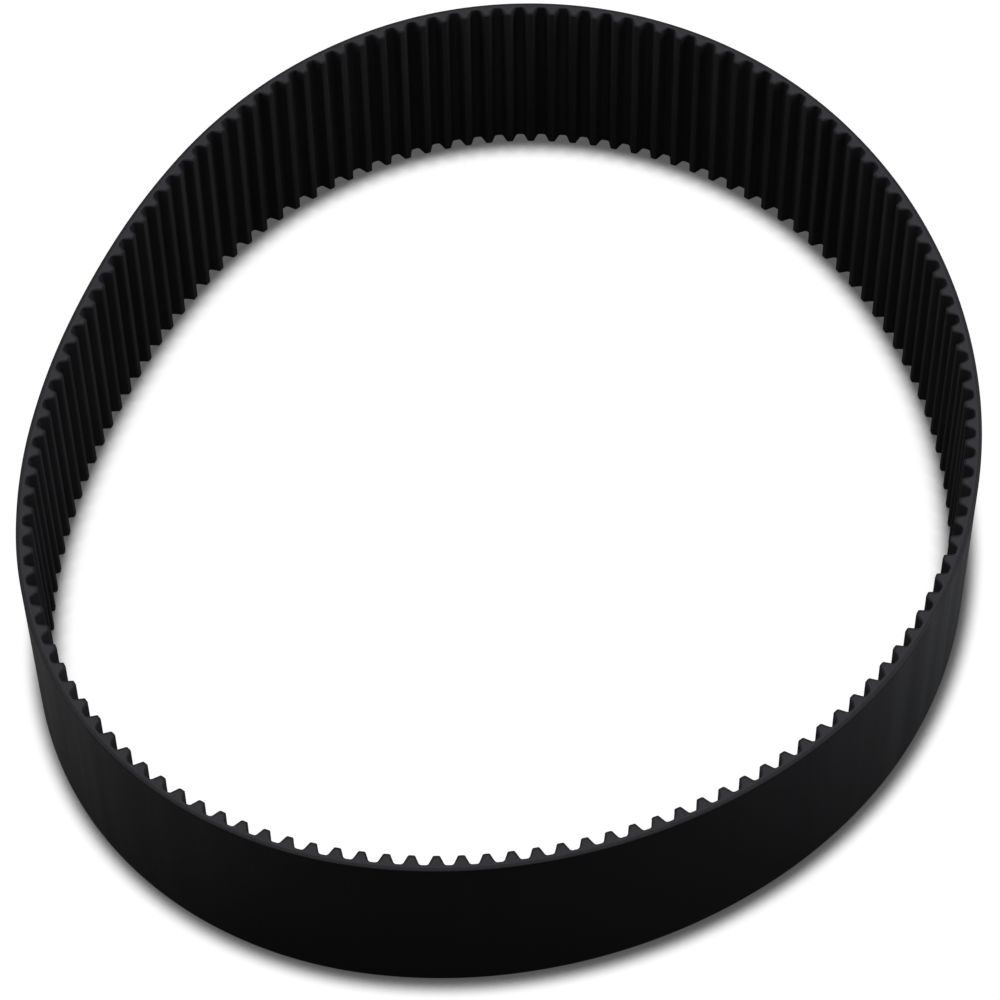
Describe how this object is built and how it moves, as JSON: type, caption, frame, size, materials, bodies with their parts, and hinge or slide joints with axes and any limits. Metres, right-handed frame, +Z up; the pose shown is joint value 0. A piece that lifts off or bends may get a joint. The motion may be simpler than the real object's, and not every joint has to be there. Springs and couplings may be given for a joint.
{
  "type": "timing belt",
  "caption": "Wide endless toothed rubber belt in a slack oval loop on its edge: smooth back, rounded teeth on the inside, cord winding in the middle.",
  "frame": {"origin": "on the plane the belt stands on, under the middle of the loop's bounding box", "axes": "+Z up the belt's width, +Y along the longer way across the slack loop, +X across the shorter way"},
  "size_m": [0.3218, 0.3548, 0.072],
  "materials": {
    "back_rubber": "ground matt black",
    "gum_rubber": "cut matt black",
    "tooth_rubber": "moulded, cut matt black",
    "nylon_facing": "woven black nylon",
    "glass_cord_s": "twisted glass fibre, S twist, dipped",
    "glass_cord_z": "twisted glass fibre, Z twist, dipped"
  },
  "bodies": {
    "root": {"back_cover": "back_rubber", "adhesion_gum": "gum_rubber", "tooth_cores": "tooth_rubber", "tooth_facing": "nylon_facing", "tension_cord_s_turn_01": "glass_cord_s", "tension_cord_z_turn_01": "glass_cord_z", "tension_cord_s_turn_02": "glass_cord_s", "tension_cord_z_turn_02": "glass_cord_z", "tension_cord_s_turn_03": "glass_cord_s", "tension_cord_z_turn_03": "glass_cord_z", "tension_cord_s_turn_04": "glass_cord_s", "tension_cord_z_turn_04": "glass_cord_z", "tension_cord_s_turn_05": "glass_cord_s", "tension_cord_z_turn_05": "glass_cord_z", "tension_cord_s_turn_06": "glass_cord_s", "tension_cord_z_turn_06": "glass_cord_z", "tension_cord_s_turn_07": "glass_cord_s", "tension_cord_z_turn_07": "glass_cord_z", "tension_cord_s_turn_08": "glass_cord_s", "tension_cord_z_turn_08": "glass_cord_z", "tension_cord_s_turn_09": "glass_cord_s", "tension_cord_z_turn_09": "glass_cord_z", "tension_cord_s_turn_10": "glass_cord_s", "tension_cord_z_turn_10": "glass_cord_z", "tension_cord_s_turn_11": "glass_cord_s", "tension_cord_z_turn_11": "glass_cord_z", "tension_cord_s_turn_12": "glass_cord_s", "tension_cord_z_turn_12": "glass_cord_z", "tension_cord_s_turn_13": "glass_cord_s", "tension_cord_z_turn_13": "glass_cord_z", "tension_cord_s_turn_14": "glass_cord_s", "tension_cord_z_turn_14": "glass_cord_z", "tension_cord_s_turn_15": "glass_cord_s", "tension_cord_z_turn_15": "glass_cord_z", "tension_cord_s_turn_16": "glass_cord_s", "tension_cord_z_turn_16": "glass_cord_z", "tension_cord_s_turn_17": "glass_cord_s", "tension_cord_z_turn_17": "glass_cord_z", "tension_cord_s_turn_18": "glass_cord_s", "tension_cord_z_turn_18": "glass_cord_z", "tension_cord_s_turn_19": "glass_cord_s", "tension_cord_z_turn_19": "glass_cord_z", "tension_cord_s_turn_20": "glass_cord_s", "tension_cord_z_turn_20": "glass_cord_z", "tension_cord_s_turn_21": "glass_cord_s", "tension_cord_z_turn_21": "glass_cord_z", "tension_cord_s_turn_22": "glass_cord_s", "tension_cord_z_turn_22": "glass_cord_z", "tension_cord_s_turn_23": "glass_cord_s", "tension_cord_z_turn_23": "glass_cord_z", "tension_cord_s_turn_24": "glass_cord_s", "tension_cord_z_turn_24": "glass_cord_z", "tension_cord_s_turn_25": "glass_cord_s", "tension_cord_z_turn_25": "glass_cord_z", "tension_cord_s_turn_26": "glass_cord_s"}
  },
  "joints": []
}
